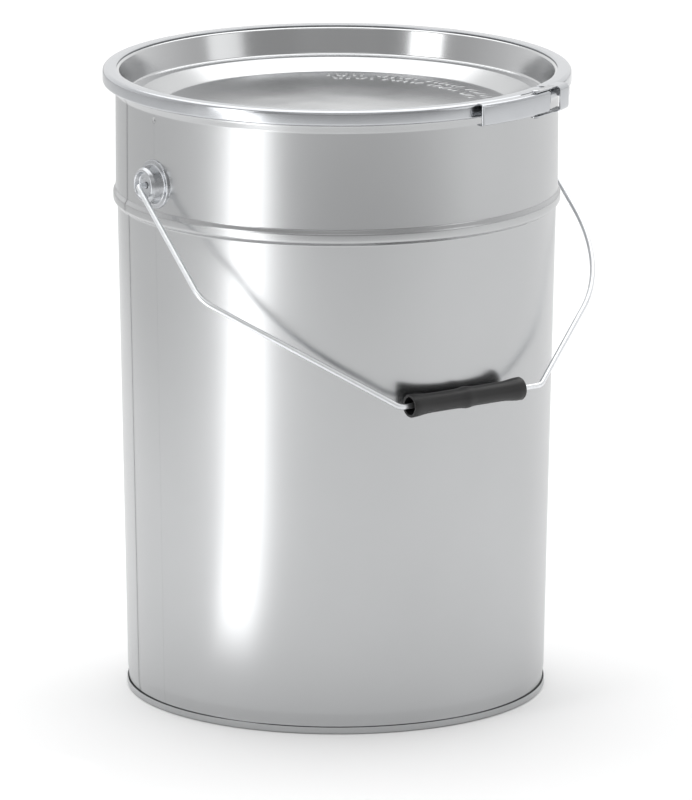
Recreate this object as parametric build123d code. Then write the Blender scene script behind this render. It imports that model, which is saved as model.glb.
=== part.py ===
"""Paint can: conical tinplate pail, recessed lid, lever-lock closing ring and bail handle.

Origin at the bottom's centre on the resting plane, +Z up, ear axis along X,
bail resting towards -Y. All sizes in millimetres.
"""
import math
import os

from build123d import *

# --- tinplate pail -----------------------------------------------------
neck_radius = 155.0          # outside of the wall above the bead
curl_centre_z = 437.2        # sets the can's height
wall_gauge = 0.5
bead_foot_step = 1.2         # the cone starts this far inside the neck
cone_taper = 6.4             # radius lost from bead to foot
bead_height = 12.0
bead_proud = 1.8             # crest beyond the neck
bead_below_ear = 30.4
flare_height = 4.6
flare_out = 2.1
curl_radius = 2.4
neck_in_z = 14.5
neck_in_height = 6.0

# --- bottom end --------------------------------------------------------
seam_proud = 0.6             # seam beyond the foot of the cone
seam_height = 5.6
seam_thickness = 3.4
end_gauge = 0.6
countersink_depth = 5.6
panel_inset = 30.0           # panel step inside the seam
panel_step = 1.8
expansion_inset = 11.0       # expansion bead inside the seam
expansion_depth = 1.2

# --- lid ---------------------------------------------------------------
lid_gauge = 0.5
lid_panel_depth = 28.0       # below the closing ring's top
ledge_depth = 20.4
lid_panel_inset = 33.0       # edges of the lid's steps inside the neck radius
ledge_inset = 15.2
chuck_foot_inset = 6.8
chuck_top_inset = 2.4
gasket_height = 2.2
gasket_gap = 0.3             # between unlocked gasket and curl
gasket_inset = 1.7           # gasket to the chuck wall's top
skirt_clear = 0.35           # curl to skirt

# --- closing ring ------------------------------------------------------
ring_gauge = 0.8
ring_skirt_clear = 0.45      # skirt to ring
ring_top_clear = 0.6         # lid channel to the upper flange
ring_lower_clear = 0.6       # curl and flared wall to the lower flange
ring_top_inset = 0.8         # upper flange's edge inside the neck radius
band_gap_start = 15.5        # degrees from -Y towards +X
band_gap_end = 27.5
band_slit = 1.5              # full gap in the upper flange, degrees

# --- lever and link ----------------------------------------------------
lever_drop = 0.2             # lever's top below the ring's top
lever_height = 15.2
lever_gauge = 0.8
lever_free_angle = 0.3
lever_lip = 2.2
pivot_angle = 25.0
link_angle = 19.5
pivot_standoff = 2.9         # pivot axis outside the ring
lever_web_setback = 1.1      # degrees the web stops short of the pivot
lever_web_clear = 0.6        # lug eye to lever web
lever_flange_clear = 0.4     # lever flange to ring web
flange_end_radius = 2.6
pin_radius = 1.75
running_clear = 0.08
lug_eye_radius = 2.5
lug_gauge = 1.0
lug_inset = 1.0              # lugs inside the ring's lower edge
lug_height = 7.2
lug_start_angle = 8.0
link_gauge = 0.9
link_gap = 0.6               # link cheek to lever flange
link_web_clear = 2.7         # lever web to link web
link_web_start = 27.2
link_web_end = 32.0
link_tail_angle = 36.0
link_cheek_radius = 3.4
link_head_radius = 3.0
link_head_height = 0.9
hook_angle = 35.2
hook_height = 3.2
hook_gauge = 1.2
anchor_end_angle = 41.5

# --- ears --------------------------------------------------------------
ear_below_rim = 66.0
ear_flange_radius = 17.2
ear_flange_thickness = 1.0
ear_boss_radius = 13.4
ear_boss_top_radius = 12.6
ear_proud = 10.0
ear_gauge = 0.8
ear_recess_radius = 9.4
ear_recess_depth = 3.4
ear_hole_clear = 0.3
ear_cavity = 1.6             # wall to the headed wire end

# --- bail --------------------------------------------------------------
wire_radius = 1.9
leg_clear = 1.7              # leg to the ear's face
elbow_radius = 22.0          # left bend, drawn tight
elbow_drop = 101.0
far_elbow_radius = 110.0     # right bend, an easy sweep
far_elbow_drop = 122.6
kink_past_grip = 12.5
kink_radius = 9.0
grip_drop = 213.0
wire_head_radius = 3.2
wire_head_length = 1.6

# --- grip --------------------------------------------------------------
grip_length = 95.0
grip_shift = -5.0
grip_radius = 7.2
grip_end_radius = 8.2
grip_end_length = 6.0
grip_knuckle_radius = 7.8
grip_knuckle_length = 5.0
grip_wall = 1.6
grip_bore_clear = 0.6
grip_hollow_depth = 16.0
grip_wall_clear = 0.4        # grip to the pail when the bail rests

# --- derived: rim, lid and ring ----------------------------------------
curl_top_z = curl_centre_z + curl_radius
gasket_bottom_z = curl_top_z + gasket_gap
channel_inner_z = gasket_bottom_z + gasket_height
channel_top_z = channel_inner_z + lid_gauge
ring_top_z = channel_top_z + ring_top_clear + ring_gauge
ring_bottom_z = curl_centre_z - curl_radius - ring_lower_clear - ring_gauge
flare_top_z = ring_bottom_z - 1.6
flare_start_z = flare_top_z - flare_height
flare_radius = neck_radius + flare_out
curl_centre_radius = flare_radius + curl_radius
curl_outer_radius = curl_centre_radius + curl_radius
skirt_inner_radius = curl_outer_radius + skirt_clear
skirt_outer_radius = skirt_inner_radius + lid_gauge
skirt_bottom_z = ring_bottom_z + ring_gauge + 0.4
ring_radius = skirt_outer_radius + ring_skirt_clear + ring_gauge
ring_top_inner_radius = neck_radius - ring_top_inset
lid_panel_z = ring_top_z - lid_panel_depth
ledge_z = ring_top_z - ledge_depth
lid_panel_radius = neck_radius - lid_panel_inset
ledge_inner_radius = neck_radius - ledge_inset
chuck_foot_radius = neck_radius - chuck_foot_inset
chuck_top_radius = neck_radius - chuck_top_inset

# --- derived: wall, bead and foot --------------------------------------
ear_z = ring_top_z - ear_below_rim
bead_bottom_z = ear_z - bead_below_ear
bead_top_z = bead_bottom_z + bead_height
bead_crest_radius = neck_radius + bead_proud
cone_top_radius = neck_radius - bead_foot_step
cone_foot_radius = cone_top_radius - cone_taper
seam_radius = cone_foot_radius + seam_proud

# --- derived: lever, link and bail -------------------------------------
pivot_radius = ring_radius + pivot_standoff
lever_web_inner = pivot_radius + lug_eye_radius + lever_web_clear
lever_top_z = ring_top_z - lever_drop
lever_bottom_z = lever_top_z - lever_height
lever_flange_inner = ring_radius + lever_flange_clear
lug_bottom_z = ring_bottom_z + lug_inset
lug_top_z = lug_bottom_z + lug_height
link_top_z = lever_top_z + link_gap
link_bottom_z = lever_bottom_z - link_gap
link_web_outer = lever_web_inner + link_web_clear + link_gauge
leg_offset = neck_radius + ear_proud + leg_clear + wire_radius
kink_offset = grip_length / 2 + kink_past_grip


def cone_radius_at(z):
    share = (z - neck_in_z) / (bead_bottom_z - neck_in_z)
    return cone_foot_radius + (cone_top_radius - cone_foot_radius) * share


def bail_lean():
    """Angle between the resting bail and straight down, in radians."""
    lean = math.radians(49)
    for _ in range(8):
        wall = cone_radius_at(ear_z - grip_drop * math.cos(lean))
        reach = wall + grip_knuckle_radius + grip_wall_clear
        lean = math.asin(reach / grip_drop)
    return lean


def polar(radius, angle):
    """Plan position: angle in degrees from -Y towards +X."""
    turn = math.radians(angle)
    return (radius * math.sin(turn), -radius * math.cos(turn))


def sheet(points, bend, gauge):
    """Section of bent sheet metal whose mid line runs through the points."""
    return trace(FilletPolyline(*points, radius=bend), gauge)


def spun(section):
    return revolve(Plane.XZ * section, Axis.Z, 360)


def slab(outline, z_low, z_high):
    return extrude(Plane.XY.offset(z_low) * outline, amount=z_high - z_low, dir=(0, 0, 1))


def sector(r_inner, r_outer, start, end):
    """Plan outline between two radii and two angles."""
    band = Circle(r_outer) - Circle(r_inner)
    wedge = Polygon((0, 0), polar(2 * r_outer, start), polar(2 * r_outer, end), align=None)
    return band & wedge


def plan_outline(*corners):
    """Plan polygon wound anticlockwise, so that it fuses with the other outlines."""
    shifted = corners[1:] + corners[:1]
    doubled = sum(a[0] * b[1] - b[0] * a[1] for a, b in zip(corners, shifted))
    ordered = corners if doubled > 0 else corners[::-1]
    return Polygon(*ordered, align=None)


def disc_at(radius, r_plan, angle):
    x, y = polar(r_plan, angle)
    return Pos(x, y) * Circle(radius)


def upright_pin(radius, r_plan, angle, z_low, z_high):
    return slab(disc_at(radius, r_plan, angle), z_low, z_high)


def body_shell():
    half = wall_gauge / 2
    foot = seam_radius - seam_thickness / 2
    mid_bead = (bead_bottom_z + bead_top_z) / 2
    points = [
        (foot, end_gauge + 0.3),
        (foot, neck_in_z - neck_in_height - 1.4),
        (cone_foot_radius - half, neck_in_z),
        (cone_top_radius - half, bead_bottom_z),
        (bead_crest_radius - half, mid_bead - 2.2),
        (bead_crest_radius - half, mid_bead + 2.2),
        (neck_radius - half, bead_top_z),
        (neck_radius - half, flare_start_z),
        (flare_radius + half, flare_top_z),
        (flare_radius + half, curl_centre_z),
    ]
    wall = sheet(points, 1.2, wall_gauge)
    centre = Pos(curl_centre_radius, curl_centre_z)
    rolled = centre * (Circle(curl_radius) - Circle(curl_radius - wall_gauge))
    opening = centre * Polygon((0, 0), (-9, 0), (-9, -9), (-2.6, -9), align=None)
    return spun(wall + (rolled - opening))


def bottom_end():
    half = end_gauge / 2
    inner = seam_radius - seam_thickness + half
    outer = seam_radius - half
    panel_z = countersink_depth - half
    step = seam_radius - panel_inset
    bead = seam_radius - expansion_inset
    points = [
        (0, panel_z - panel_step),
        (step - 2, panel_z - panel_step),
        (step + 2, panel_z),
        (bead - 2.5, panel_z),
        (bead, panel_z - expansion_depth),
        (bead + 2.5, panel_z),
        (inner, panel_z),
        (inner, half),
        (outer, half),
        (outer, seam_height - half),
    ]
    return spun(sheet(points, 0.55, end_gauge))


def seam_compound():
    inner = seam_radius - seam_thickness + end_gauge
    outer = seam_radius - seam_thickness / 2 - wall_gauge / 2
    band = Pos((inner + outer) / 2, 3.1) * Rectangle(outer - inner, 3.6)
    return spun(band)


def lid_panel():
    half = lid_gauge / 2
    points = [
        (0, lid_panel_z - half),
        (lid_panel_radius, lid_panel_z - half),
        (ledge_inner_radius, ledge_z - half),
        (chuck_foot_radius, ledge_z - half),
        (chuck_top_radius, channel_top_z - half),
        (skirt_inner_radius + half, channel_top_z - half),
        (skirt_inner_radius + half, skirt_bottom_z),
    ]
    return spun(sheet(points, 0.7, lid_gauge))


def lid_gasket():
    inner = chuck_top_radius + gasket_inset
    width = skirt_inner_radius - 0.3 - inner
    middle_z = gasket_bottom_z + gasket_height / 2
    return spun(Pos(inner + width / 2, middle_z) * Rectangle(width, gasket_height))


def clamp_band():
    half = ring_gauge / 2
    lower_inner = flare_radius + wall_gauge + ring_lower_clear
    points = [
        (ring_top_inner_radius, ring_top_z - half),
        (ring_radius - half, ring_top_z - half),
        (ring_radius - half, ring_bottom_z + half),
        (lower_inner, ring_bottom_z + half),
    ]
    full = spun(sheet(points, 0.8, ring_gauge))
    gap = sector(ring_top_inner_radius - 6, ring_radius + 6, band_gap_start, band_gap_end)
    cut = slab(gap, ring_bottom_z - 2, ring_top_z - ring_gauge - 0.4)
    slit = sector(ring_top_inner_radius - 6, ring_radius + 6, band_gap_end - band_slit, band_gap_end)
    return full - cut - slab(slit, ring_bottom_z - 2, ring_top_z + 2)


def pivot_lug():
    back = sector(ring_radius, ring_radius + lug_gauge, lug_start_angle, band_gap_start)
    nose_inner = pivot_radius - lug_eye_radius
    bridge = plan_outline(
        polar(ring_radius + 0.2, band_gap_start - 0.2),
        polar(nose_inner, pivot_angle),
        polar(nose_inner + lug_gauge + 0.3, pivot_angle),
        polar(ring_radius + lug_gauge, band_gap_start - 0.2),
    )
    eye = disc_at(lug_eye_radius, pivot_radius, pivot_angle)
    hole = disc_at(pin_radius + running_clear, pivot_radius, pivot_angle)
    return slab(back + bridge + eye - hole, lug_bottom_z, lug_top_z)


def lever_flange(z_low):
    plate = sector(lever_flange_inner, lever_web_inner, lever_free_angle, pivot_angle)
    end = disc_at(flange_end_radius, pivot_radius, pivot_angle)
    holes = disc_at(pin_radius, pivot_radius, pivot_angle)
    holes += disc_at(pin_radius, pivot_radius, link_angle)
    return slab(plate + end - holes, z_low, z_low + lever_gauge)


def closing_lever():
    web_end = pivot_angle - lever_web_setback
    web = sector(lever_web_inner, lever_web_inner + lever_gauge, lever_free_angle, web_end)
    lip = sector(lever_web_inner, lever_web_inner + lever_lip, lever_free_angle - 0.3, lever_free_angle)
    channel = slab(web + lip, lever_bottom_z, lever_top_z)
    channel += lever_flange(lever_bottom_z)
    return channel + lever_flange(lever_top_z - lever_gauge)


def lever_pin():
    return upright_pin(pin_radius, pivot_radius, pivot_angle, lever_bottom_z, lever_top_z)


def link_pin():
    head = link_head_radius
    tall = link_head_height
    low = link_bottom_z - link_gauge - running_clear
    high = link_top_z + link_gauge + running_clear
    shank = upright_pin(pin_radius, pivot_radius, link_angle, low, high)
    foot = upright_pin(head, pivot_radius, link_angle, low - tall, low)
    cap = upright_pin(head, pivot_radius, link_angle, high, high + tall)
    return shank + foot + cap


def link_cheek(z_low):
    plate = plan_outline(
        polar(lever_flange_inner, link_angle),
        polar(lever_flange_inner + 0.4, link_web_start),
        polar(lever_flange_inner + 0.4, link_web_end),
        polar(link_web_outer, link_web_end),
        polar(link_web_outer, (link_web_start + link_web_end) / 2),
        polar(link_web_outer, link_web_start),
        polar(pivot_radius + link_cheek_radius, link_angle),
    )
    ear = disc_at(link_cheek_radius, pivot_radius, link_angle)
    ear &= sector(lever_flange_inner, link_web_outer, link_angle - 6, link_angle + 6)
    hole = disc_at(pin_radius + running_clear, pivot_radius, link_angle)
    return slab(plate + ear - hole, z_low, z_low + link_gauge)


def link_bracket():
    low = link_bottom_z - link_gauge
    high = link_top_z + link_gauge
    inner = link_web_outer - link_gauge
    web = sector(inner, link_web_outer, link_web_start, link_web_end)
    solid = slab(web, low, high)
    solid += link_cheek(low) + link_cheek(link_top_z)
    tail_radius = ring_radius + hook_height + 1.9
    tail = plan_outline(
        polar(inner, link_web_end - 0.2),
        polar(link_web_outer, link_web_end - 0.2),
        polar(tail_radius + link_gauge, link_tail_angle),
        polar(ring_radius + 0.9, link_tail_angle + 0.15),
        polar(ring_radius + 0.9, link_tail_angle - 0.15),
        polar(tail_radius, link_tail_angle - 0.2),
    )
    return solid + slab(tail, lug_bottom_z, lug_top_z)


def anchor_hook():
    base = sector(ring_radius, ring_radius + hook_gauge, hook_angle - 1.5, hook_angle + 0.2)
    plate = sector(ring_radius, ring_radius + 0.6, hook_angle, anchor_end_angle)
    lip = sector(ring_radius, ring_radius + hook_height, hook_angle - 0.2, hook_angle + 0.2)
    return slab(base + plate + lip, lug_bottom_z, lug_top_z)


def ear(side):
    flat = ear_flange_radius
    boss = ear_boss_radius
    top = ear_boss_top_radius
    gauge = ear_gauge
    hole = wire_radius + ear_hole_clear
    base_x = neck_radius - 1.6
    rim_x = neck_radius + ear_flange_thickness
    face_x = neck_radius + ear_proud
    floor_x = face_x - ear_recess_depth
    outline = Polygon(
        (base_x, flat),
        (rim_x, flat),
        (rim_x, boss + 0.8),
        (rim_x + 0.8, boss),
        (face_x - 1.5, top),
        (face_x, top - 1.2),
        (face_x, ear_recess_radius + 0.8),
        (face_x - 0.8, ear_recess_radius),
        (floor_x, ear_recess_radius - 0.5),
        (floor_x, hole),
        (floor_x - gauge, hole),
        (floor_x - gauge, ear_recess_radius + 0.2),
        (face_x - gauge - 0.6, ear_recess_radius + 0.9),
        (face_x - gauge, ear_recess_radius + 1.3),
        (face_x - gauge, top - 1.5),
        (face_x - gauge - 1.1, top - gauge),
        (rim_x, boss - gauge),
        (base_x, boss - gauge),
        align=None,
    )
    cup = revolve(Plane.XY * outline, Axis.X, 360)
    cup = Pos(0, 0, ear_z) * cup
    wall = Pos(0, 0, ear_z) * Cylinder(neck_radius, 3 * flat)
    solid = cup - wall
    return solid if side > 0 else mirror(solid, Plane.YZ)


def bail_plane():
    """Local X along the ear axis, local Y from the ear axis to the grip."""
    lean = bail_lean()
    down = (0, -math.sin(lean), -math.cos(lean))
    normal = Vector(1, 0, 0).cross(Vector(*down))
    return Plane(origin=(0, 0, ear_z), x_dir=(1, 0, 0), z_dir=normal)


def wire_corners(drop):
    """Corners of one half of the bail, from beside the grip to the ear."""
    return [
        (kink_offset, grip_drop),
        (leg_offset, drop),
        (leg_offset, 0),
    ]


def bail_wire():
    right = wire_corners(far_elbow_drop)
    left = [(-x, y) for x, y in reversed(wire_corners(elbow_drop))]
    bends = (elbow_radius, kink_radius, kink_radius, far_elbow_radius)
    path = FilletPolyline(*left, *right, radius=bends)
    plane = bail_plane()
    path = plane * path
    profile = Plane(origin=path @ 0, z_dir=path % 0) * Circle(wire_radius)
    solid = sweep(profile, path=path)
    return solid + wire_hook(1) + wire_hook(-1)


def wire_hook(side):
    """Turned-in end that passes through the ear and is headed inside the cup."""
    inside = neck_radius + ear_cavity
    reach = leg_offset - inside
    shank = Pos(side * (inside + reach / 2), 0, ear_z) * Rot(0, 90, 0) * Cylinder(wire_radius, reach)
    middle = inside + wire_head_length / 2
    head = Rot(0, 90, 0) * Cylinder(wire_head_radius, wire_head_length)
    elbow = Pos(side * leg_offset, 0, ear_z) * Sphere(wire_radius)
    return shank + Pos(side * middle, 0, ear_z) * head + elbow


def grip():
    half = grip_length / 2
    flare = half - grip_end_length
    knuckle = grip_knuckle_length / 2
    bore = wire_radius + grip_bore_clear
    hollow = grip_radius - grip_wall
    outline = Polygon(
        (-half, hollow),
        (-half, grip_end_radius),
        (-flare, grip_end_radius),
        (-flare + 2, grip_radius),
        (-knuckle - 1, grip_radius),
        (-knuckle, grip_knuckle_radius),
        (knuckle, grip_knuckle_radius),
        (knuckle + 1, grip_radius),
        (flare - 2, grip_radius),
        (flare, grip_end_radius),
        (half, grip_end_radius),
        (half, hollow),
        (half - grip_hollow_depth, hollow),
        (half - grip_hollow_depth, bore),
        (-half + grip_hollow_depth, bore),
        (-half + grip_hollow_depth, hollow),
        align=None,
    )
    sleeve = revolve(Plane.XY * outline, Axis.X, 360)
    lean = bail_lean()
    y = -grip_drop * math.sin(lean)
    z = ear_z - grip_drop * math.cos(lean)
    return Pos(grip_shift, y, z) * sleeve


def main():
    nodes = {
        "body_shell": body_shell(),
        "bottom_end": bottom_end(),
        "seam_compound": seam_compound(),
        "ear_left": ear(-1),
        "ear_right": ear(1),
        "bail_wire": bail_wire(),
        "grip": grip(),
        "lid_panel": lid_panel(),
        "lid_gasket": lid_gasket(),
        "clamp_band": clamp_band(),
        "pivot_lug": pivot_lug(),
        "anchor_hook": anchor_hook(),
        "closing_lever": closing_lever(),
        "lever_pin": lever_pin(),
        "link_pin": link_pin(),
        "link_bracket": link_bracket(),
    }
    os.makedirs("parts", exist_ok=True)
    for name, shape in nodes.items():
        shape.label = name
        export_step(shape, f"parts/{name}.step")
        print(name, len(shape.solids()), round(shape.volume, 1))


main()
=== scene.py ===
import math

import bpy
from mathutils import Matrix, Vector


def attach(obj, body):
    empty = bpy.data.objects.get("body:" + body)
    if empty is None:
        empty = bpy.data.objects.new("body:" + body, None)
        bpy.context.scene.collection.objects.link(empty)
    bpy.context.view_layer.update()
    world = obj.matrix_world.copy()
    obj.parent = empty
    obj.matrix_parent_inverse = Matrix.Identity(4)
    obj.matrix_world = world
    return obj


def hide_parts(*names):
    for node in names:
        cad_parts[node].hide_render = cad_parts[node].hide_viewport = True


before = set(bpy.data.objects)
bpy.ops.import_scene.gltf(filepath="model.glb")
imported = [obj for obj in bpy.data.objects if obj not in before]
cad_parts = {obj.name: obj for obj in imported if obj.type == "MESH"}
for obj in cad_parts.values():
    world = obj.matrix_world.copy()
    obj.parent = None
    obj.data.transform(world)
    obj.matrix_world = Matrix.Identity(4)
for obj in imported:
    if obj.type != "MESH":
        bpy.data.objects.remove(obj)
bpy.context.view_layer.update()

mm = 0.001
scene = bpy.context.scene


# ---- small tools ----------------------------------------------------------

def freshStart():
    if bpy.context.object and bpy.context.object.mode != "OBJECT":
        bpy.ops.object.mode_set(mode="OBJECT")
    bpy.ops.object.select_all(action="DESELECT")


def useAlone(piece):
    freshStart()
    piece.select_set(True)
    bpy.context.view_layer.objects.active = piece


def roundedRun(corners, radius, bits=5):
    # a bent-sheet line: every inner corner becomes a small arc
    run = [Vector(corners[0])]
    radii = radius if isinstance(radius, (list, tuple)) else [radius] * (len(corners) - 2)
    for before, corner, after, r in zip(corners, corners[1:], corners[2:], radii):
        corner = Vector(corner)
        a = Vector(before) - corner
        b = Vector(after) - corner
        half = a.angle(b) / 2
        if r <= 0 or half > math.radians(89.5):
            run.append(corner)
            continue
        reach = min(r / math.tan(half), 0.49 * a.length, 0.49 * b.length)
        r = reach * math.tan(half)
        a.normalize()
        b.normalize()
        centre = corner + (a + b).normalized() * (r / math.sin(half))
        first = corner + a * reach - centre
        last = corner + b * reach - centre
        for i in range(bits + 1):
            run.append(centre + first.slerp(last, i / bits).normalized() * r)
    run.append(Vector(corners[-1]))
    return run


def vertexRun(name, points, closed=False):
    # one point, then extruded along the run, as when drawing a profile by hand
    freshStart()
    bpy.ops.mesh.primitive_plane_add(size=0.01)
    piece = bpy.context.object
    piece.name = name
    piece.data.name = name
    bpy.ops.object.mode_set(mode="EDIT")
    bpy.ops.mesh.select_all(action="SELECT")
    bpy.ops.mesh.merge(type="CENTER")
    bpy.ops.transform.translate(value=points[0] * mm)
    for here, there in zip(points, points[1:]):
        step = (there - here) * mm
        bpy.ops.mesh.extrude_vertices_move(TRANSFORM_OT_translate={"value": step})
    if closed:
        bpy.ops.object.mode_set(mode="OBJECT")
        for vert in piece.data.vertices:
            vert.select = vert.index in (0, len(points) - 1)
        bpy.ops.object.mode_set(mode="EDIT")
        bpy.ops.mesh.edge_face_add()
    return piece


def spinRun(name, points, steps=160, angle=360.0, axis=(0, 0, 1), centre=(0, 0, 0), closed=False):
    piece = vertexRun(name, points, closed)
    bpy.ops.mesh.select_all(action="SELECT")
    middle = Vector(centre) * mm
    bpy.ops.mesh.spin(steps=steps, angle=-math.radians(angle), center=middle, axis=axis)
    bpy.ops.mesh.select_all(action="SELECT")
    bpy.ops.mesh.remove_doubles(threshold=1e-6)
    bpy.ops.mesh.normals_make_consistent(inside=False)
    bpy.ops.object.mode_set(mode="OBJECT")
    return piece


def profile(pairs):
    # radius and height pairs, drawn in the XZ plane
    return [Vector((r, 0, z)) for r, z in pairs]


def thicken(piece, gauge, offset=0.0):
    useAlone(piece)
    wall = piece.modifiers.new("wall", "SOLIDIFY")
    wall.thickness = gauge * mm
    wall.offset = offset
    wall.use_even_offset = True
    bpy.ops.object.modifier_apply(modifier="wall")


def softEdges(piece, width, segments=2, angle=40):
    useAlone(piece)
    edges = piece.modifiers.new("edges", "BEVEL")
    edges.width = width * mm
    edges.segments = segments
    edges.limit_method = "ANGLE"
    edges.angle_limit = math.radians(angle)
    bpy.ops.object.modifier_apply(modifier="edges")


def smooth(piece, angle=38):
    useAlone(piece)
    bpy.ops.object.shade_smooth_by_angle(angle=math.radians(angle))


def plate(name, outline, zLow, zHigh, bevel=0.2):
    # a flat outline in plan, filled and raised to its thickness
    corners = [Vector((x, y, zLow)) for x, y in outline]
    piece = vertexRun(name, corners, closed=True)
    bpy.ops.mesh.select_all(action="SELECT")
    bpy.ops.mesh.edge_face_add()
    rise = {"value": (0, 0, (zHigh - zLow) * mm)}
    bpy.ops.mesh.extrude_region_move(TRANSFORM_OT_translate=rise)
    bpy.ops.mesh.select_all(action="SELECT")
    bpy.ops.mesh.normals_make_consistent(inside=False)
    bpy.ops.object.mode_set(mode="OBJECT")
    if bevel:
        softEdges(piece, bevel)
    return piece


def joined(name, *pieces):
    freshStart()
    for piece in pieces:
        piece.select_set(True)
    bpy.context.view_layer.objects.active = pieces[0]
    bpy.ops.object.join()
    piece = bpy.context.object
    piece.name = name
    return piece


def mirroredCopy(piece, name):
    # the same pressing on the other side of the can
    twin = piece.copy()
    twin.data = piece.data.copy()
    twin.name = name
    scene.collection.objects.link(twin)
    useAlone(twin)
    bpy.ops.object.mode_set(mode="EDIT")
    bpy.ops.mesh.select_all(action="SELECT")
    bpy.ops.transform.resize(value=(-1, 1, 1), center_override=(0, 0, 0))
    bpy.ops.mesh.normals_make_consistent(inside=False)
    bpy.ops.object.mode_set(mode="OBJECT")
    return twin


def plan(radius, angle):
    # plan position, with the angle from the bail's side towards the right ear
    turn = math.radians(angle)
    return (radius * math.sin(turn), -radius * math.cos(turn))


def wired(pieceName, points, radius, sides=6):
    # a drawn run given a round section
    piece = vertexRun(pieceName, points)
    bpy.ops.object.mode_set(mode="OBJECT")
    useAlone(piece)
    bpy.ops.object.convert(target="CURVE")
    line = bpy.context.object
    line.data.dimensions = "3D"
    line.data.bevel_depth = radius * mm
    line.data.bevel_resolution = sides
    line.data.use_fill_caps = True
    bpy.ops.object.convert(target="MESH")
    piece = bpy.context.object
    bpy.ops.object.mode_set(mode="EDIT")
    bpy.ops.mesh.select_all(action="SELECT")
    bpy.ops.mesh.remove_doubles(threshold=1e-6)
    bpy.ops.mesh.normals_make_consistent(inside=False)
    bpy.ops.object.mode_set(mode="OBJECT")
    return piece


# ---- materials ------------------------------------------------------------

def linearColour(hexText):
    values = [int(hexText[i:i + 2], 16) / 255 for i in (0, 2, 4)]
    linear = [v / 12.92 if v <= 0.04045 else ((v + 0.055) / 1.055) ** 2.4 for v in values]
    return (*linear, 1.0)


def addNode(tree, kind, sockets=None, **settings):
    # one node with its settings; a socket takes a number or another node's output
    node = tree.nodes.new(kind)
    for key, value in settings.items():
        setattr(node, key, value)
    for key, value in (sockets or {}).items():
        if isinstance(value, bpy.types.NodeSocket):
            tree.links.new(value, node.inputs[key])
        else:
            node.inputs[key].default_value = value
    return node


def newMaterial(name):
    material = bpy.data.materials.new(name)
    material.use_nodes = True
    material.node_tree.nodes.clear()
    return material, material.node_tree


def closeMaterial(tree, shader):
    addNode(tree, "ShaderNodeOutputMaterial", {"Surface": shader.outputs[0]})


def give(piece, material):
    piece.data.materials.clear()
    piece.data.materials.append(material)


tinplateLook = {
    "light": "babbbc", "dark": "b3b4b5",   # bright matt-tin finish
    "roughness": 0.25, "spread": 0.012,
    "anisotropy": 0.6,
    "rollingPitch": 0.8,       # mm between rolling lines, drawn coarser than the real 0.05
    "ripple": 60.0,            # mm across a shallow ripple of the sheet
    "rippleDepth": 0.06,
}


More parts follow.
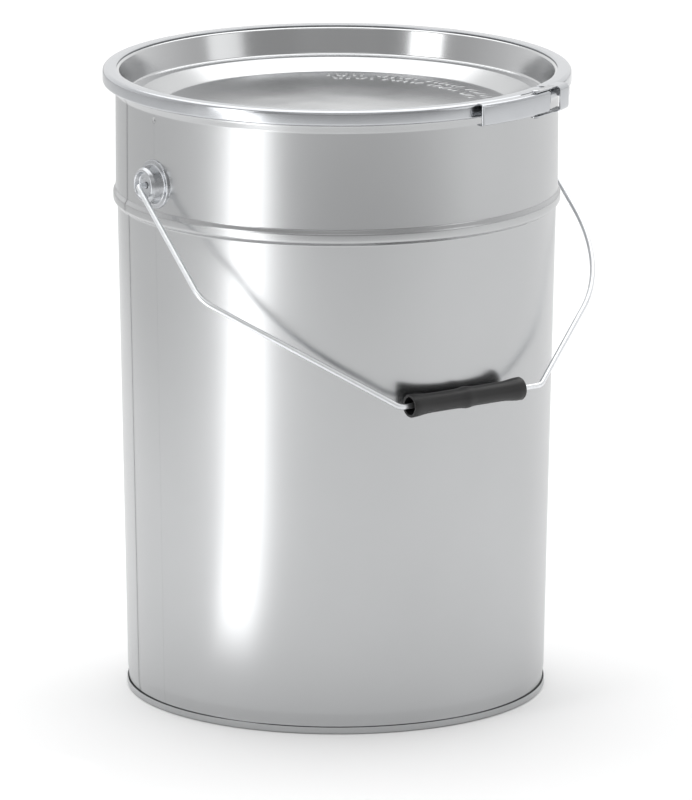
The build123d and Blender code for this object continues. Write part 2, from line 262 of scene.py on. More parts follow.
def tinplateMaterial(name, look, seamAngle=None, dimples=False):
    # cold-rolled steel strip with a melted tin coat: silvery, with a soft blurred gleam
    material, tree = newMaterial(name)
    place = addNode(tree, "ShaderNodeTexCoord").outputs["Object"]
    # rolling lines run round the can, so the noise is stretched that way
    apart = addNode(tree, "ShaderNodeSeparateXYZ", {0: place})
    turn = addNode(tree, "ShaderNodeMath", {0: apart.outputs[1], 1: apart.outputs[0]},
        operation="ARCTAN2").outputs[0]
    height = addNode(tree, "ShaderNodeMath", {0: apart.outputs[2], 1: 1000 / look["rollingPitch"]},
        operation="MULTIPLY").outputs[0]
    lines = addNode(tree, "ShaderNodeCombineXYZ",
        {0: addNode(tree, "ShaderNodeMath", {0: turn, 1: 3.0}, operation="MULTIPLY").outputs[0],
        2: height})
    grain = addNode(tree, "ShaderNodeTexNoise",
        {"Vector": lines.outputs[0], "Scale": 1.0, "Detail": 3.0})
    cloud = addNode(tree, "ShaderNodeTexNoise", {"Vector": place, "Scale": 1000 / 90.0, "Detail": 4.0})
    tone = addNode(tree, "ShaderNodeMix", {"Factor": cloud.outputs[0], 6: linearColour(look["dark"]),
        7: linearColour(look["light"])}, data_type="RGBA")
    rough = addNode(tree, "ShaderNodeMapRange",
        {"Value": grain.outputs[0], "From Min": 0.25, "From Max": 0.75,
        "To Min": look["roughness"] - look["spread"], "To Max": look["roughness"] + look["spread"]})
    # the sheet was rolled into a tube, so its ripples stand upright
    tall = addNode(tree, "ShaderNodeVectorMath", {0: place, 1: (1, 1, 0.22)}, operation="MULTIPLY")
    ripple = addNode(tree, "ShaderNodeTexNoise",
        {"Vector": tall.outputs[0], "Scale": 1000 / look["ripple"], "Detail": 1.0})
    bump = addNode(tree, "ShaderNodeBump", {"Height": ripple.outputs[0],
        "Distance": look["rippleDepth"] * mm * 10})
    colour = tone.outputs[2]
    normal = bump.outputs[0]
    if seamAngle is not None:
        # lapped side weld: a dark hairline with a slightly raised edge
        seam = math.radians((seamAngle + 90) % 360 - 180)
        away = addNode(tree, "ShaderNodeMath", {0: turn, 1: seam}, operation="SUBTRACT").outputs[0]
        gap = addNode(tree, "ShaderNodeMath", {0: away}, operation="ABSOLUTE").outputs[0]
        line = addNode(tree, "ShaderNodeMapRange",
            {"Value": gap, "From Min": 0.0025, "From Max": 0.006, "To Min": 1.0,
            "To Max": 0.0}).outputs[0]
        heat = addNode(tree, "ShaderNodeMapRange",
            {"Value": gap, "From Min": 0.008, "From Max": 0.03, "To Min": 0.16,
            "To Max": 0.0}).outputs[0]
        mark = addNode(tree, "ShaderNodeMath", {0: line, 1: 0.8, 2: heat},
            operation="MULTIPLY_ADD").outputs[0]
        darker = addNode(tree, "ShaderNodeMix", {"Factor": mark, 6: colour, 7: linearColour("6b6b6d")},
            data_type="RGBA")
        colour = darker.outputs[2]
        step = addNode(tree, "ShaderNodeMapRange",
            {"Value": away, "From Min": -0.003, "From Max": 0.003})
        bump = addNode(tree, "ShaderNodeBump", {"Height": step.outputs[0], "Distance": 0.25 * mm,
            "Normal": normal})
        normal = bump.outputs[0]
    if dimples:
        # small punched index mark above each ear
        side = addNode(tree, "ShaderNodeMath", {0: apart.outputs[0]}, operation="ABSOLUTE").outputs[0]
        there = addNode(tree, "ShaderNodeCombineXYZ",
            {0: side, 1: apart.outputs[1], 2: apart.outputs[2]})
        reach = addNode(tree, "ShaderNodeVectorMath",
            {0: there.outputs[0], 1: Vector((155, 0, 423)) * mm}, operation="DISTANCE")
        pit = addNode(tree, "ShaderNodeMapRange",
            {"Value": reach.outputs[1], "From Min": 0.0, "From Max": 2.6 * mm},
            interpolation_type="SMOOTHSTEP")
        bump = addNode(tree, "ShaderNodeBump", {"Height": pit.outputs[0], "Distance": 0.7 * mm,
            "Normal": normal})
        normal = bump.outputs[0]
    around = addNode(tree, "ShaderNodeTangent", direction_type="RADIAL", axis="Z")
    shader = addNode(tree, "ShaderNodeBsdfPrincipled", {
        "Base Color": colour, "Metallic": 1.0, "Roughness": rough.outputs[0], "Normal": normal,
        "Anisotropic": look["anisotropy"], "Tangent": around.outputs[0]})
    closeMaterial(tree, shader)
    return material


zincLook = {"light": "bfc1c4", "dark": "b5b7ba", "roughness": 0.22, "patch": 9.0, "grit": 1.2}


def zincMaterial(name, look):
    # bright zinc-plated steel: cool grey, evenly satin, with faint patches in the plating
    material, tree = newMaterial(name)
    place = addNode(tree, "ShaderNodeTexCoord").outputs["Object"]
    patches = addNode(tree, "ShaderNodeTexNoise",
        {"Vector": place, "Scale": 1000 / look["patch"], "Detail": 3.0})
    tone = addNode(tree, "ShaderNodeMix", {"Factor": patches.outputs[0], 6: linearColour(look["dark"]),
        7: linearColour(look["light"])}, data_type="RGBA")
    rough = addNode(tree, "ShaderNodeMapRange",
        {"Value": patches.outputs[0], "From Min": 0.3, "From Max": 0.7,
        "To Min": look["roughness"] - 0.02, "To Max": look["roughness"] + 0.03})
    grit = addNode(tree, "ShaderNodeTexNoise", {"Vector": place, "Scale": 1000 / look["grit"],
        "Detail": 2.0})
    bump = addNode(tree, "ShaderNodeBump", {"Height": grit.outputs[0], "Distance": 0.004 * mm,
        "Strength": 0.25})
    shader = addNode(tree, "ShaderNodeBsdfPrincipled", {
        "Base Color": tone.outputs[2], "Metallic": 1.0,
        "Roughness": rough.outputs[0], "Normal": bump.outputs[0]})
    closeMaterial(tree, shader)
    return material


def polyethyleneMaterial():
    # moulded black polyethylene: near black, satin, with a fine spark-eroded grain
    material, tree = newMaterial("black moulded polyethylene")
    place = addNode(tree, "ShaderNodeTexCoord").outputs["Object"]
    grain = addNode(tree, "ShaderNodeTexNoise", {"Vector": place, "Scale": 1000 / 0.6, "Detail": 3.0})
    cloud = addNode(tree, "ShaderNodeTexNoise", {"Vector": place, "Scale": 1000 / 14.0, "Detail": 2.0})
    tone = addNode(tree, "ShaderNodeMix", {"Factor": cloud.outputs[0], 6: linearColour("0d0d0e"),
        7: linearColour("161617")}, data_type="RGBA")
    rough = addNode(tree, "ShaderNodeMapRange",
        {"Value": grain.outputs[0], "To Min": 0.36, "To Max": 0.52})
    bump = addNode(tree, "ShaderNodeBump", {"Height": grain.outputs[0], "Distance": 0.05 * mm,
        "Strength": 0.35})
    shader = addNode(tree, "ShaderNodeBsdfPrincipled", {
        "Base Color": tone.outputs[2], "Roughness": rough.outputs[0], "Normal": bump.outputs[0], "IOR": 1.51})
    closeMaterial(tree, shader)
    return material


def rubberMaterial(name, light, dark):
    # poured and cured rubber compound: matt, with tiny pores
    material, tree = newMaterial(name)
    place = addNode(tree, "ShaderNodeTexCoord").outputs["Object"]
    pores = addNode(tree, "ShaderNodeTexNoise", {"Vector": place, "Scale": 1000 / 1.2, "Detail": 3.0})
    tone = addNode(tree, "ShaderNodeMix", {"Factor": pores.outputs[0], 6: linearColour(dark),
        7: linearColour(light)}, data_type="RGBA")
    bump = addNode(tree, "ShaderNodeBump", {"Height": pores.outputs[0], "Distance": 0.1 * mm,
        "Strength": 0.5})
    shader = addNode(tree, "ShaderNodeBsdfPrincipled", {
        "Base Color": tone.outputs[2], "Roughness": 0.8, "Normal": bump.outputs[0], "IOR": 1.52})
    closeMaterial(tree, shader)
    return material


wallTin = tinplateMaterial("matt tinplate wall", tinplateLook, seamAngle=-105.5, dimples=True)
endTin = tinplateMaterial("matt tinplate end", tinplateLook)
lidTin = tinplateMaterial("matt tinplate lid", dict(tinplateLook, light="c6c7c8", dark="bfc0c1",
    roughness=0.17, anisotropy=0.0))
earTin = zincMaterial("pressed tinplate ear", dict(zincLook, roughness=0.27))
ringZinc = zincMaterial("zinc-plated ring strip", zincLook)
leverZinc = zincMaterial("zinc-plated pressing", dict(zincLook, roughness=0.2))
wireZinc = zincMaterial("zinc-plated wire", dict(zincLook, roughness=0.36, light="eceef0",
    dark="e2e4e6"))
gripPlastic = polyethyleneMaterial()
sealRubber = rubberMaterial("foamed rubber seal", "8d8b86", "6f6d68")
seamRubber = rubberMaterial("seam compound", "4a4843", "353430")
print("materials ready")


# ---- pail -----------------------------------------------------------------

pailSizes = {
    "gauge": 0.5, "neck": 155.0, "coneTop": 153.8, "coneFoot": 147.4,
    "footLine": 146.3, "neckIn": 14.5,
    "beadLow": 347.6, "beadHigh": 359.6, "beadCrest": 156.8,
    "flareLow": 427.2, "flareHigh": 431.8, "flare": 157.1,
    "curlHeight": 437.2, "curl": 2.4, "steps": 192,
}


def makePail(s):
    half = s["gauge"] / 2
    beadMiddle = (s["beadLow"] + s["beadHigh"]) / 2
    corners = profile([
        (s["footLine"], 0.9),
        (s["footLine"], s["neckIn"] - 7.4),
        (s["coneFoot"] - half, s["neckIn"]),
        (s["coneTop"] - half, s["beadLow"] + 0.4),
        (s["beadCrest"] - half, beadMiddle - 2.6),
        (s["beadCrest"] - half, beadMiddle + 2.6),
        (s["neck"] - half, s["beadHigh"] - 0.4),
        (s["neck"] - half, s["flareLow"]),
        (s["flare"] + half, s["flareHigh"]),
        (s["flare"] + half, s["curlHeight"]),
    ])
    run = roundedRun(corners, [1.5, 5, 1.8, 2.6, 2.6, 2.2, 3, 2.5], bits=6)
    centre = Vector((s["flare"] + s["curl"], 0, s["curlHeight"]))
    rolled = s["curl"] - half
    for i in range(1, 17):
        angle = math.radians(180 - i * 17.5)
        run.append(centre + Vector((math.cos(angle), 0, math.sin(angle))) * rolled)
    pail = spinRun("pailWall", run, s["steps"])
    thicken(pail, s["gauge"])
    smooth(pail, 60)
    give(pail, wallTin)
    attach(pail, "pail")
    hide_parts("body_shell")
    return pail


makePail(pailSizes)
print("pail wall done")

endSizes = {"gauge": 0.6, "seam": 148.0, "thickness": 3.4, "height": 5.6, "panel": 5.3, "steps": 192}


def makeEnd(s):
    half = s["gauge"] / 2
    inner = s["seam"] - s["thickness"] + half
    outer = s["seam"] - half
    corners = profile([
        (0, s["panel"] - 1.8), (116, s["panel"] - 1.8), (120, s["panel"]),
        (134.5, s["panel"]), (137, s["panel"] - 1.2), (139.5, s["panel"]),
        (inner, s["panel"]), (inner, half), (outer, half), (outer, s["height"] - half - 0.3),
    ])
    run = roundedRun(corners, [2, 2, 2, 1.5, 2, 0.9, 1.2, 1.2], bits=4)
    end = spinRun("bottomEnd", run, s["steps"])
    thicken(end, s["gauge"])
    smooth(end, 60)
    give(end, endTin)
    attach(end, "pail")
    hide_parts("bottom_end")
    return end


makeEnd(endSizes)
print("bottom end done")

earSizes = {
    "height": 378.0, "base": 153.6, "rim": 156.0, "face": 165.0,
    "flange": 17.2, "boss": 13.4, "bossTop": 12.6, "recess": 9.4,
    "recessDepth": 3.4, "hole": 2.2, "gauge": 0.8, "steps": 64,
}


def makeEar(s):
    # drawn about the bail's axis, from the flange over the crown into the hooked hole
    floor = s["face"] - s["recessDepth"]
    half = s["gauge"] / 2
    rows = [
        (s["base"] + half, s["flange"] - 0.3), (s["rim"] - half, s["flange"] - half),
        (s["rim"] - half, s["boss"] - half + 0.4), (s["face"] - 2.5, s["bossTop"] - half),
        (s["face"] - half, s["bossTop"] - 1.9), (s["face"] - half, s["recess"] + 0.6),
        (floor - half, s["recess"] - 0.9), (floor - half, s["hole"] + 0.2),
    ]
    corners = [Vector((x, 0, s["height"] + r)) for x, r in rows]
    run = roundedRun(corners, [0.5, 1.4, 1.6, 2.2, 1.1, 1.3], bits=5)
    ear = spinRun("earRight", run, s["steps"], axis=(1, 0, 0), centre=(0, 0, s["height"]))
    thicken(ear, s["gauge"])
    smooth(ear, 50)
    give(ear, earTin)
    return ear


earRight = makeEar(earSizes)
earLeft = mirroredCopy(earRight, "earLeft")
smooth(earLeft, 50)
for ear, node in ((earRight, "ear_right"), (earLeft, "ear_left")):
    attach(ear, "pail")
    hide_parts(node)
print("ears done")


# ---- lid ------------------------------------------------------------------

lidSizes = {
    "gauge": 0.5, "panel": 416.0, "panelEdge": 122.0, "ledge": 423.6, "ledgeEdge": 139.8,
    "chuckFoot": 148.2, "chuckTop": 152.6, "channel": 442.6, "skirt": 162.25,
    "skirtFoot": 434.7, "steps": 192,
}


def makeLid(s):
    half = s["gauge"] / 2
    corners = profile([
        (0, s["panel"] - half), (s["panelEdge"], s["panel"] - half),
        (s["ledgeEdge"], s["ledge"] - half), (s["chuckFoot"], s["ledge"] - half),
        (s["chuckTop"], s["channel"] - half), (s["skirt"] + half, s["channel"] - half),
        (s["skirt"] + half, s["skirtFoot"]),
    ])
    run = roundedRun(corners, [10, 4, 2.2, 1.5, 1.2], bits=7)
    lid = spinRun("lidPanel", run, s["steps"])
    thicken(lid, s["gauge"])
    smooth(lid, 60)
    give(lid, lidTin)
    return lid


markSizes = {"long": 7.0, "wide": 2.6, "proud": 0.5, "rows": (109.0, 99.0), "first": 70.0,
    "last": 152.0, "pitch": 3.1}


def makeMarks(s):
    # plain raised bars in two arcs on the panel, generic tally marks
    freshStart()
    bpy.ops.mesh.primitive_cube_add(size=1)
    bar = bpy.context.object
    bar.name = "raisedBar"
    bpy.ops.object.mode_set(mode="EDIT")
    bpy.ops.mesh.select_all(action="SELECT")
    bpy.ops.transform.resize(value=(s["wide"] * mm, s["long"] * mm, 2 * s["proud"] * mm))
    bpy.ops.object.mode_set(mode="OBJECT")
    softEdges(bar, 0.3, 2)
    bars = []
    for row, radius in enumerate(s["rows"]):
        count = int((s["last"] - s["first"]) / s["pitch"])
        for i in range(count):
            if (i + 2 * row) % 7 == 6:
                continue
            angle = s["first"] + s["pitch"] * (i + 0.4 * row)
            x, y = plan(radius, angle)
            one = bar.copy()
            one.data = bar.data.copy()
            scene.collection.objects.link(one)
            lean = 0.5 * math.sin(i * 2.4 + row)
            turn = Matrix.Rotation(math.radians(angle) + lean, 4, "Z")
            one.data.transform(Matrix.Translation(Vector((x, y, 416.0)) * mm) @ turn)
            bars.append(one)
    bpy.data.objects.remove(bar)
    marks = joined("lidMarks", *bars)
    smooth(marks, 50)
    give(marks, lidTin)
    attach(marks, "lid")
    return marks


lid = makeLid(lidSizes)
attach(lid, "lid")
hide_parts("lid_panel")
makeMarks(markSizes)
print("lid done")


# ---- closing ring ---------------------------------------------------------

ringSizes = {
    "gauge": 0.8, "outer": 164.0, "top": 444.0, "foot": 433.4, "topInner": 154.2,
    "footInner": 158.2, "gapFrom": 15.5, "gapTo": 27.5, "slit": 1.5, "steps": 180,
}


def makeRing(s):
    half = s["gauge"] / 2
    corners = profile([
        (s["topInner"] + 0.1, s["top"] - half - 0.35), (s["topInner"] + 2.2, s["top"] - half),
        (s["outer"] - half, s["top"] - half), (s["outer"] - half, s["foot"] + half),
        (s["footInner"] + half, s["foot"] + half),
    ])
    run = roundedRun(corners, [2, 2.6, 1.6], bits=6)
    start = Matrix.Rotation(math.radians(s["gapTo"] - 90), 4, "Z")
    sweep = 360 - (s["gapTo"] - s["gapFrom"])
    band = spinRun("band", [start @ p for p in run], s["steps"], sweep)
    topOnly = [start @ p for p in run if p.z > s["top"] - 1.0 and p.x < s["outer"] - 0.6]
    back = Matrix.Rotation(math.radians(s["gapFrom"] - s["gapTo"]), 4, "Z")
    tongue = spinRun("tongue", [back @ p for p in topOnly], 8, s["gapTo"] - s["gapFrom"] - s["slit"])
    thicken(band, s["gauge"])
    thicken(tongue, s["gauge"])
    ring = joined("closingRing", band, tongue)
    smooth(ring, 50)
    give(ring, ringZinc)
    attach(ring, "closing_ring")
    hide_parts("clamp_band")
    return ring


makeRing(ringSizes)
print("closing ring done")

leverSizes = {
    "gauge": 0.8, "webInner": 170.0, "flangeInner": 164.4, "top": 443.8, "foot": 428.6,
    "from": 0.3, "to": 23.9, "pivot": 25.0, "pivotRadius": 166.9, "endRadius": 2.6,
}


def makeLever(s):
    half = s["gauge"] / 2
    corners = profile([
        (s["flangeInner"], s["top"] - half), (s["webInner"] + half, s["top"] - half),
        (s["webInner"] + half, s["foot"] + half), (s["flangeInner"], s["foot"] + half),
    ])
    run = roundedRun(corners, 1.9, bits=6)
    start = Matrix.Rotation(math.radians(s["from"] - 90), 4, "Z")
    channel = spinRun("channel", [start @ p for p in run], 24, s["to"] - s["from"])
    thicken(channel, s["gauge"])
    parts = [channel]
    outline = [plan(s["flangeInner"], s["to"] - 0.6), plan(s["webInner"] - 0.2, s["to"] - 0.6),
               plan(s["webInner"] - 0.4, s["pivot"] - 0.3)]
    px, py = plan(s["pivotRadius"], s["pivot"])
    for i in range(13):
        angle = math.radians(s["pivot"] + 90 - 180 * i / 12)
        outline.append((px + s["endRadius"] * math.sin(angle), py - s["endRadius"] * math.cos(angle)))
    for low in (s["foot"] + 0.02, s["top"] - s["gauge"] + 0.02):
        parts.append(plate("leverEnd", outline, low, low + s["gauge"] - 0.04, 0))
    # rolled thumb lip on the free end
    lip = [Vector((*plan(s["webInner"] + 0.95, s["from"] + 0.1), z)) for z in (s["foot"] + 0.9,
        s["top"] - 0.9)]
    parts.append(wired("leverLip", lip, 1.2, 4))
    lever = joined("closingLever", *parts)
    smooth(lever, 45)
    give(lever, leverZinc)
    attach(lever, "lever")
    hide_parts("closing_lever")
    return lever


makeLever(leverSizes)

linkSizes = {
    "gauge": 0.9, "low": 427.1, "high": 445.3, "inner": 164.6, "outer": 173.6,
    "from": 27.2, "to": 32.0, "pin": 19.5, "pinRadius": 166.9, "cheek": 3.4,
    "tail": 36.0, "tailRadius": 169.2, "tailLow": 434.4, "tailHigh": 441.6,
}


def makeLink(s):
    half = s["gauge"] / 2
    corners = profile([
        (s["inner"], s["high"] - half), (s["outer"] - half, s["high"] - half),
        (s["outer"] - half, s["low"] + half), (s["inner"], s["low"] + half),
    ])
    run = roundedRun(corners, 2.8, bits=7)
    start = Matrix.Rotation(math.radians(s["from"] - 90), 4, "Z")
    channel = spinRun("bracket", [start @ p for p in run], 8, s["to"] - s["from"])
    thicken(channel, s["gauge"])
    parts = [channel]
    px, py = plan(s["pinRadius"], s["pin"])
    outline = [plan(s["outer"] - 2.9, s["from"] + 0.3), plan(s["inner"] + 0.1, s["from"] + 0.3)]
    outline.append(plan(s["inner"] - 0.1, s["pin"] + 0.5))
    for i in range(11):
        angle = math.radians(s["pin"] - 160 + 160 * i / 10)
        reach = s["cheek"] if i > 3 else s["cheek"] * 0.75
        outline.append((px + reach * math.sin(angle), py - reach * math.cos(angle)))
    for low in (s["low"] + 0.02, s["high"] - s["gauge"] + 0.02):
        parts.append(plate("cheek", outline, low, low + s["gauge"] - 0.04, 0.15))
    tail = [plan(s["outer"] - s["gauge"] + 0.05, s["to"] - 0.4), plan(s["outer"] - 0.05, s["to"] - 0.4),
            plan(s["tailRadius"] + s["gauge"], s["tail"]), plan(165.2, s["tail"] + 0.1),
            plan(165.2, s["tail"] - 0.1), plan(s["tailRadius"], s["tail"] - 0.2)]
    parts.append(plate("hook", tail, s["tailLow"], s["tailHigh"], 0.2))
    link = joined("linkBracket", *parts)
    smooth(link, 45)
    give(link, leverZinc)
    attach(link, "link")
    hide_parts("link_bracket")
    return link


makeLink(linkSizes)

rivetSizes = {"shank": 1.75, "head": 3.0, "low": 426.14, "high": 446.26, "neckLow": 427.0,
    "neckHigh": 445.4}


def makeRivet(s):
    # domed rivet through the bracket's cheeks
    rows = [(0, s["low"]), (1.8, s["low"] + 0.1), (s["head"], s["low"] + 0.6),
        (s["head"], s["neckLow"]),
            (s["shank"], s["neckLow"]), (s["shank"], s["neckHigh"]), (s["head"], s["neckHigh"]),
            (s["head"], s["high"] - 0.6), (1.8, s["high"] - 0.1), (0, s["high"])]
    x, y = plan(166.9, 19.5)
    rivet = spinRun("linkRivet", [Vector((x + r, y, z)) for r, z in rows], 24, centre=(x, y, 0))
    smooth(rivet, 50)
    give(rivet, leverZinc)
    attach(rivet, "lever")
    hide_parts("link_pin")


makeRivet(rivetSizes)
print("lever and link done")


# ---- bail and grip --------------------------------------------------------

bailSizes = {
    "height": 378.0, "lean": 48.643279, "wire": 1.88, "leg": 168.6, "kink": 60.0, "drop": 213.0,
    "elbow": 101.0, "elbowRadius": 22.0, "farElbow": 122.6, "farElbowRadius": 110.0,
    "kinkRadius": 9.0, "hook": 156.8,
}


def onBail(s, u, v):
    lean = math.radians(s["lean"])
    return Vector((u, -v * math.sin(lean), s["height"] - v * math.cos(lean)))


def makeBail(s):
    left = [(-s["hook"], 0), (-s["leg"], 0), (-s["leg"], s["elbow"]), (-s["kink"], s["drop"])]
    right = [(s["kink"], s["drop"]), (s["leg"], s["farElbow"]), (s["leg"], 0), (s["hook"], 0)]
    corners = [onBail(s, u, v) for u, v in left + right]
    radii = [2.6, s["elbowRadius"], s["kinkRadius"], s["kinkRadius"], s["farElbowRadius"], 2.6]
    run = roundedRun(corners, radii, bits=14)
    bail = wired("bailWire", run, s["wire"], 6)
    heads = []
    for side in (-1, 1):
        rows = [(0, 156.7), (3.0, 156.7), (3.0, 158.1), (0, 158.1)]
        points = [Vector((side * x, 0, s["height"] + r)) for r, x in rows]
        heads.append(spinRun("wireHead", points, 24, axis=(1, 0, 0), centre=(0, 0, s["height"])))
    bail = joined("bailWire", bail, *heads)
    smooth(bail, 50)
    give(bail, wireZinc)
    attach(bail, "bail")
    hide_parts("bail_wire")
    return bail


makeBail(bailSizes)

gripSizes = {"length": 95.0, "shift": -5.0, "end": 8.15, "middle": 6.85, "knuckle": 7.7, "bore": 2.5,
    "hollow": 6.1, "deep": 16.0}


def makeGrip(s):
    half = s["length"] / 2
    hollow = s["hollow"]
    rows = [(-half, hollow + 0.7), (-half + 0.1, s["end"] - 0.4), (-half + 0.8, s["end"]),
        (-half + 5, s["end"] - 0.15),
            (-half + 9, s["end"] - 0.6), (-half + 14, s["middle"] + 0.15), (-half + 20,
                s["middle"]), (-8, s["middle"]),
            (-4.5, s["middle"] + 0.25), (-1.6, s["knuckle"] - 0.1), (0, s["knuckle"]), (1.6,
                s["knuckle"] - 0.1)]
    rows += [(-x, r) for x, r in reversed(rows[:9])]
    rows += [(half - 0.3, hollow), (half - s["deep"], hollow - 0.4), (half - s["deep"], s["bore"]),
             (-half + s["deep"], s["bore"]), (-half + s["deep"], hollow - 0.4), (-half + 0.3, hollow)]
    centre = onBail(bailSizes, s["shift"], bailSizes["drop"])
    points = [centre + Vector((x, 0, r)) for x, r in rows]
    grip = spinRun("grip", points, 56, axis=(1, 0, 0), centre=centre, closed=True)
    smooth(grip, 40)
    give(grip, gripPlastic)
    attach(grip, "handle_grip")
    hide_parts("grip")
    return grip


makeGrip(gripSizes)
print("bail and grip done")


# ---- CAD pieces that stay -------------------------------------------------

keptFinishes = {
    "seam_compound": seamRubber, "lid_gasket": sealRubber,
    "pivot_lug": leverZinc, "anchor_hook": leverZinc, "lever_pin": leverZinc,
}
for nodeName, finish in keptFinishes.items():
    give(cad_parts[nodeName], finish)


# ---- room -----------------------------------------------------------------

# the board's grey tones are painted shade, towards the camera and on the can's left, which the wall reflects
boardSizes = {"edge": 0.5, "fade": 1.6, "beyond": "c6c6c6", "leftEdge": 0.6, "leftFade": 0.6,
    "leftShadeGrey": "d9d9d9"}
# painted light: a glowing pool in the floor board stands in for a pool of key light
glowPoolSizes = {"bearing": -48, "halfWidth": 15.0, "near": 0.27, "full": 0.45, "radiance": 2.4}
cameraBearing = -35.5


def stageMaterial(s, pool=None):
    # matt white board, with painted shade: it turns greyer where it runs out towards the camera, standing in
    # for the shade on that side
    material, tree = newMaterial("matt white board" if pool is None else "white board with a painted glow pool")
    place = addNode(tree, "ShaderNodeTexCoord").outputs["Object"]
    mottle = addNode(tree, "ShaderNodeTexNoise", {"Vector": place, "Scale": 3.0, "Detail": 2.0})
    tone = addNode(tree, "ShaderNodeMix", {"Factor": mottle.outputs[0], 6: linearColour("f4f4f4"),
        7: linearColour("f7f7f7")}, data_type="RGBA")
    # painted shade: the board is mixed towards a grey tone past an edge on the camera's side
    ahead = addNode(tree, "ShaderNodeVectorMath", {0: place, 1: (*plan(1.0, cameraBearing), 0)},
        operation="DOT_PRODUCT")
    out = addNode(tree, "ShaderNodeMapRange", {"Value": ahead.outputs[1], "From Min": s["edge"],
        "From Max": s["edge"] + s["fade"]}, interpolation_type="SMOOTHSTEP")
    board = addNode(tree, "ShaderNodeMix", {"Factor": out.outputs[0], 6: tone.outputs[2],
        7: linearColour(s["beyond"])}, data_type="RGBA")
    # painted shade: the board is greyed beside the can on its left, and its reflection keeps that edge of the
    # wall down
    beside = addNode(tree, "ShaderNodeVectorMath", {0: place, 1: (*plan(1.0, cameraBearing - 100), 0)},
        operation="DOT_PRODUCT")
    leftShade = addNode(tree, "ShaderNodeMapRange", {"Value": beside.outputs[1], "From Min": s["leftEdge"],
        "From Max": s["leftEdge"] + s["leftFade"]}, interpolation_type="SMOOTHSTEP")
    board = addNode(tree, "ShaderNodeMix", {"Factor": leftShade.outputs[0], 6: board.outputs[2],
        7: linearColour(s["leftShadeGrey"])}, data_type="RGBA")
    shader = addNode(tree, "ShaderNodeBsdfPrincipled",
        {"Base Color": board.outputs[2], "Roughness": 0.9})
    if pool:
        # painted light: the board itself glows here, a pool of light that the wall reflects as its bright
        # band; it swells from the can outwards and dies away to either side
        apart = addNode(tree, "ShaderNodeSeparateXYZ", {0: place})
        turn = addNode(tree, "ShaderNodeMath", {0: apart.outputs[1], 1: apart.outputs[0]},
            operation="ARCTAN2").outputs[0]
        middle = math.radians((cameraBearing + pool["bearing"] + 90) % 360 - 180)
        aside = addNode(tree, "ShaderNodeMath", {0: turn, 1: middle}, operation="SUBTRACT").outputs[0]
        gap = addNode(tree, "ShaderNodeMath", {0: aside}, operation="ABSOLUTE").outputs[0]
        wide = math.radians(pool["halfWidth"])
        across = addNode(tree, "ShaderNodeMapRange",
            {"Value": gap, "From Min": wide, "From Max": 0.55 * wide}, interpolation_type="SMOOTHSTEP")
        away = addNode(tree, "ShaderNodeVectorMath", {0: place}, operation="LENGTH")
        swell = addNode(tree, "ShaderNodeMapRange",
            {"Value": away.outputs[1], "From Min": pool["near"], "From Max": pool["full"]},
            interpolation_type="SMOOTHSTEP")
        both = addNode(tree, "ShaderNodeMath", {0: across.outputs[0], 1: swell.outputs[0]},
            operation="MULTIPLY")
        power = addNode(tree, "ShaderNodeMath", {0: both.outputs[0], 1: pool["radiance"]},
            operation="MULTIPLY")
        glow = addNode(tree, "ShaderNodeEmission",
            {"Color": (1, 1, 1, 1), "Strength": power.outputs[0]})
        shader = addNode(tree, "ShaderNodeAddShader", {0: shader.outputs[0], 1: glow.outputs[0]})
    closeMaterial(tree, shader)
    return material


def makeFloor(name, size, drop, material):
    freshStart()
    bpy.ops.mesh.primitive_plane_add(size=size)
    floor = bpy.context.object
    floor.name = name
    bpy.ops.object.mode_set(mode="EDIT")
    bpy.ops.transform.translate(value=(0, 0, -drop))
    bpy.ops.object.mode_set(mode="OBJECT")
    give(floor, material)


makeFloor("floorBoard", 8, 0, stageMaterial(boardSizes, glowPoolSizes))
makeFloor("studioFloor", 60, 0.002, stageMaterial(boardSizes))

lampSizes = {
    # bearing from the camera's side, height of the middle, distance, width, tall, watts
    "keyStrip": (-52, 0.95, 2.6, 0.8, 1.8, 13),
    "rightFill": (66, 1.4, 3.2, 1.2, 1.8, 6),
    "topPanel": (180, 4.2, 0.9, 6.0, 6.0, 150),
    "frontTop": (0, 2.9, 3.6, 3.2, 1.2, 6),
}


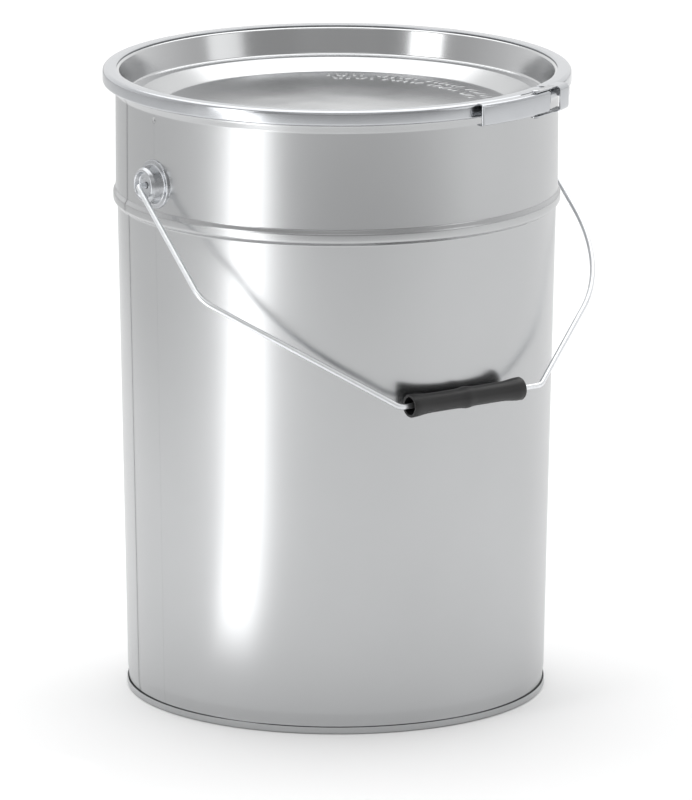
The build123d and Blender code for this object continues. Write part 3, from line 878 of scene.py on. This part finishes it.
def makeLamp(name, bearing, height, distance, width, tall, watts):
    freshStart()
    x, y = plan(distance, cameraBearing + bearing)
    bpy.ops.object.light_add(type="AREA", location=(x, y, height))
    lamp = bpy.context.object
    lamp.name = name
    lamp.data.shape = "RECTANGLE"
    lamp.data.size = width
    lamp.data.size_y = tall
    lamp.data.energy = watts
    aim = Vector((0, 0, 0.25)) - lamp.location
    lamp.rotation_euler = aim.to_track_quat("-Z", "Y").to_euler()
    return lamp


for lampName, numbers in lampSizes.items():
    makeLamp(lampName, *numbers)

world = bpy.data.worlds.new("studio")
scene.world = world
world.use_nodes = True
sky = world.node_tree
sky.nodes.clear()
toward = addNode(sky, "ShaderNodeTexCoord").outputs["Generated"]
turned = addNode(sky, "ShaderNodeMapping", {"Vector": toward,
    "Rotation": (0, 0, math.radians(-cameraBearing))}).outputs[0]
front = addNode(sky, "ShaderNodeSeparateXYZ", {0: turned}).outputs[1]
shade = addNode(sky, "ShaderNodeMapRange", {"Value": front, "From Min": -0.6, "From Max": 0.8,
    "To Min": 0.42, "To Max": 1.1})
glow = addNode(sky, "ShaderNodeBackground", {"Color": (1, 1, 1, 1), "Strength": shade.outputs[0]})
addNode(sky, "ShaderNodeOutputWorld", {"Surface": glow.outputs[0]})

scene.view_settings.view_transform = "Standard"

cameraSizes = {"distance": 6.2, "height": 1.6486, "down": 0.2289, "yaw": 0.0011, "roll": 0.0024,
    "lens": 406.3}


def makeCamera(s):
    bpy.ops.object.camera_add()
    camera = bpy.context.object
    camera.name = "viewCamera"
    down, yaw, roll = s["down"], s["yaw"], s["roll"]
    look = Vector((math.sin(yaw) * math.cos(down), math.cos(yaw) * math.cos(down), -math.sin(down)))
    right = Vector((math.cos(yaw), -math.sin(yaw), 0))
    up = right.cross(look)
    tiltedRight = math.cos(roll) * right + math.sin(roll) * up
    tiltedUp = math.cos(roll) * up - math.sin(roll) * right
    pose = Matrix((tiltedRight, tiltedUp, -look)).transposed().to_4x4()
    pose.translation = Vector((0, -s["distance"], s["height"]))
    camera.matrix_world = Matrix.Rotation(math.radians(cameraBearing), 4, "Z") @ pose
    camera.data.lens = s["lens"]
    camera.data.sensor_width = 36
    camera.data.sensor_fit = "AUTO"
    camera.data.clip_end = 200
    scene.camera = camera


makeCamera(cameraSizes)
print("room and camera done")
